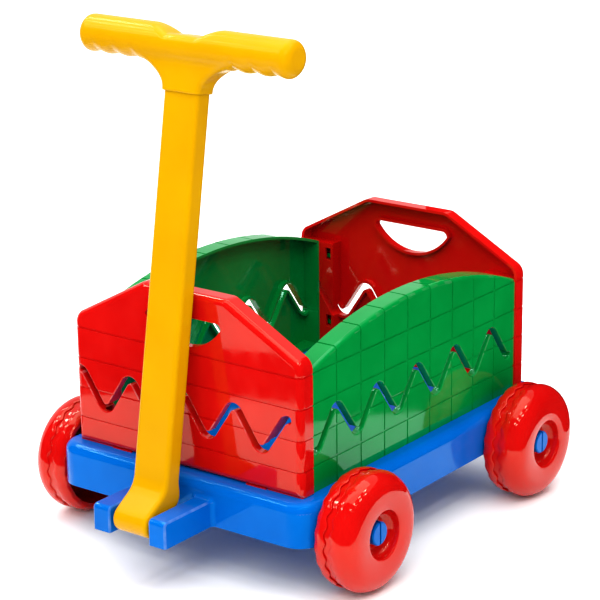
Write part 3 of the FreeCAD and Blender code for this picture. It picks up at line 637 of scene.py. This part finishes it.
def grip_field(x, y, z):
    """Signed distance of the T-grip: bar with finger grooves, saddle, flared neck and collar."""
    across = x - GRIP_MIDDLE
    up = z - GRIP_HEIGHT
    distance = np.hypot(across, up)
    down = np.clip(-up / np.maximum(distance, 0.1), 0, 1)
    radial = distance - GRIP_RADIUS + finger_dip(y) * down ** 1.5
    bar = round_bar(radial, np.abs(y) - GRIP_HALF, GRIP_END_ROUND)
    # neck: its half width flares as a parabola from the collar up to the bar's underside
    rise = np.clip(z - COLLAR_BOTTOM - COLLAR_STRAIGHT, 0, FLARE_HEIGHT)
    half = COLLAR_HALF + FLARE * rise ** 2
    slope = np.hypot(1, 2 * FLARE * rise)
    depth = np.abs(x - STEM_MIDDLE) - COLLAR_HALF_DEPTH
    neck = round_bar((np.abs(y) - half) / slope, depth, COLLAR_EDGE)
    neck = np.maximum(neck, z - GRIP_HEIGHT - NECK_OVERLAP)
    neck = blend_cut(neck, COLLAR_BOTTOM - z, COLLAR_LIP)
    whole = blend_union(bar, neck, NECK_BLEND)
    # saddle: the bar's top drops between sloping shoulders, and crowns a little
    share = np.clip((np.abs(y) - SADDLE_HALF) / SADDLE_SLOPE, 0, 1)
    crown = SADDLE_CROWN * np.cos(np.pi * np.clip(y / CROWN_LENGTH, -0.5, 0.5))
    floor = GRIP_RADIUS - SADDLE_DROP + SHOULDER_RISE * share + crown
    whole = blend_cut(whole, (up - floor) * SADDLE_SCALE, SADDLE_BLEND)
    hollow = round_bar(np.abs(x - STEM_MIDDLE) - STEM_HALF_THICKNESS - FIT_GAP,
                       np.abs(y) - stem_half_width(z) - FIT_GAP, STEM_EDGE)
    return np.maximum(whole, -np.maximum(hollow, z - STEM_END - FIT_GAP))


def add_handle():
    """Stem and grip, as two mouldings that turn together."""
    low, high = (-42, -34, -17), (16, 34, STEM_END + 3)
    points, faces = surface_net(stem_field, low, high, STEM_GRID)
    add_piece("handle_stem_moulding", lean_back(points), faces, "handle", "yellow_plastic",
              "handle_stem")
    low, high = (-43, -130, COLLAR_BOTTOM - 3), (-1, 130, 478)
    points, faces = surface_net(grip_field, low, high, GRIP_GRID)
    add_piece("handle_grip_moulding", lean_back(points), faces, "handle", "yellow_plastic",
              "handle_grip")


# ---- stage, lights and camera ------------------------------------------------------

# places in metres, lamps' powers in watts, angles of the cards in degrees
WHITE_WORLD = 0.74
FLOOR_SIZE = 14.0
FLOOR_DROP = 0.3 * MM
MIDDLE = (0.0, 0.0, 0.15)
CARD_CENTRE = (0.064, -0.05)
NEAR_RADIUS = 0.545
NEAR_HEIGHT = 0.45
LOW_HEIGHT = 0.06
FAR_RADIUS = 1.9
FAR_HEIGHT = 1.85
LID_SPAN = (-40, 110)
CARD_STEP = 5
BANKS = ((0.51, 1.04), (0.59, -1.13))
BANK_HEIGHT = 1.5
LAMP_SPACING = (0.44, 0.40)
LAMP_SIZE = (0.16, 0.09)
LAMP_POWER = 1.1
BACKDROP = (-3.2, -2.4)
BACKDROP_HEIGHT = 3.0
CAMERA_PLACE = (1.7672, 1.3515, 0.9303)
CAMERA_AZIMUTH = math.radians(37.03)
CAMERA_PITCH = math.radians(17.47)
CAMERA_ROLL = math.radians(-0.69)
FIELD_OF_VIEW = math.radians(14.96)


def stage_material(name, colour, roughness):
    """Plain paint for the floor and the black cards."""
    material = bpy.data.materials.new(name)
    material.use_nodes = True
    shader = material.node_tree.nodes["Principled BSDF"]
    socket(shader, "Base Color", (*colour, 1))
    socket(shader, "Roughness", roughness)
    return material


def add_floor():
    """Large pale floor under the wheels."""
    bpy.ops.mesh.primitive_plane_add(size=FLOOR_SIZE, location=(0, 0, -FLOOR_DROP))
    floor = bpy.context.object
    floor.name = "studio_floor"
    floor.data.materials.append(stage_material("floor_paint", (0.94, 0.94, 0.94), 0.7))


def add_card(name, radius, height, start, end, lid=()):
    """Black card bent round the wagon, which only reflections see.

    lid is the span of angles over which a flat card closes its top.
    """
    angles = np.arange(start, end + 1, CARD_STEP)
    count = len(angles)
    turn = np.radians(angles)
    rim = np.column_stack([radius * np.cos(turn), radius * np.sin(turn)]) + CARD_CENTRE
    points = [(*place, level) for level in (0.0, height) for place in rim]
    faces = [(i, i + 1, count + i + 1, count + i) for i in range(count - 1)]
    if lid:
        faces.append(tuple(count + i for i in range(count) if lid[0] <= angles[i] <= lid[1]))
    mesh = bpy.data.meshes.new(name)
    mesh.from_pydata(points, [], faces)
    mesh.materials.append(stage_material(name + "_felt", (0.0, 0.0, 0.0), 1.0))
    card = bpy.data.objects.new(name, mesh)
    bpy.context.scene.collection.objects.link(card)
    card.visible_camera = False
    card.visible_diffuse = False
    card.visible_shadow = False
    card.visible_transmission = False


def area_light(name, place, aim, width, height, power):
    """Rectangular lamp that points at a place."""
    data = bpy.data.lights.new(name, "AREA")
    data.shape = "RECTANGLE"
    data.size = width
    data.size_y = height
    data.energy = power
    light = bpy.data.objects.new(name, data)
    bpy.context.scene.collection.objects.link(light)
    light.location = place
    light.rotation_euler = (Vector(aim) - Vector(place)).to_track_quat("-Z", "Y").to_euler()
    return light


def add_lights():
    """White surroundings, broad lamps above, in front and behind, and two banks of small lamps."""
    world = bpy.data.worlds.new("studio")
    bpy.context.scene.world = world
    world.use_nodes = True
    background = world.node_tree.nodes["Background"]
    background.inputs["Color"].default_value = (1.0, 1.0, 1.0, 1)
    background.inputs["Strength"].default_value = WHITE_WORLD
    area_light("broad_lamp", (0.1, 0.0, 1.7), MIDDLE, 1.6, 1.6, 15.0)
    fill = area_light("front_lamp", (1.5, 0.45, 1.5), MIDDLE, 1.2, 1.2, 14.0)
    fill.visible_glossy = False
    back = area_light("backdrop_lamp", (*BACKDROP, BACKDROP_HEIGHT), (*BACKDROP, 0.0),
                      3.0, 3.0, 130.0)
    back.visible_glossy = False
    for bank, (x, y) in enumerate(BANKS):
        for row, column in product(range(2), range(4)):
            across, along = LAMP_SPACING[0] * (column - 1.5), LAMP_SPACING[1] * (row - 0.5)
            area_light("lamp_%d_%d_%d" % (bank, row, column),
                       (x + across, y + along, BANK_HEIGHT), MIDDLE, *LAMP_SIZE, LAMP_POWER)


def add_camera():
    """Camera with a long lens, a little above the wagon and ahead of its left side."""
    flat = math.cos(CAMERA_PITCH)
    back = Vector((math.cos(CAMERA_AZIMUTH) * flat, math.sin(CAMERA_AZIMUTH) * flat,
                   math.sin(CAMERA_PITCH)))
    level = Vector((0, 0, 1)).cross(back).normalized()
    rise = back.cross(level)
    right = level * math.cos(CAMERA_ROLL) + rise * math.sin(CAMERA_ROLL)
    up = rise * math.cos(CAMERA_ROLL) - level * math.sin(CAMERA_ROLL)
    data = bpy.data.cameras.new("camera")
    data.angle = FIELD_OF_VIEW
    camera = bpy.data.objects.new("camera", data)
    bpy.context.scene.collection.objects.link(camera)
    turn = Matrix((right, up, back)).transposed().to_4x4()
    camera.matrix_world = Matrix.Translation(CAMERA_PLACE) @ turn
    bpy.context.scene.camera = camera


# ---- the whole picture ---------------------------------------------------------------

for node in SLOTS:
    if node.endswith("_panel"):
        soften(node, "root", PANEL_EDGE)
    elif node == "base_platform":
        soften(node, "root", PLATFORM_EDGE)
    elif node.startswith("axle_stub"):
        # the stubs get no paler edge paint, neither wear nor painted highlight
        soften(node, "root", STUB_EDGE, edge_wear_and_highlight=False)
for corner in CORNERS:
    add_wheel(corner)
add_handle()

add_floor()
add_card("side_card", NEAR_RADIUS, NEAR_HEIGHT, -10, 190)
add_card("low_card", NEAR_RADIUS, LOW_HEIGHT, -30, -10)
add_card("front_card", NEAR_RADIUS, NEAR_HEIGHT, -70, -30)
add_card("far_card", FAR_RADIUS, FAR_HEIGHT, -80, 190, LID_SPAN)
add_lights()
add_camera()
bpy.context.scene.view_settings.view_transform = "Standard"
bpy.context.scene.view_settings.look = "Medium High Contrast"
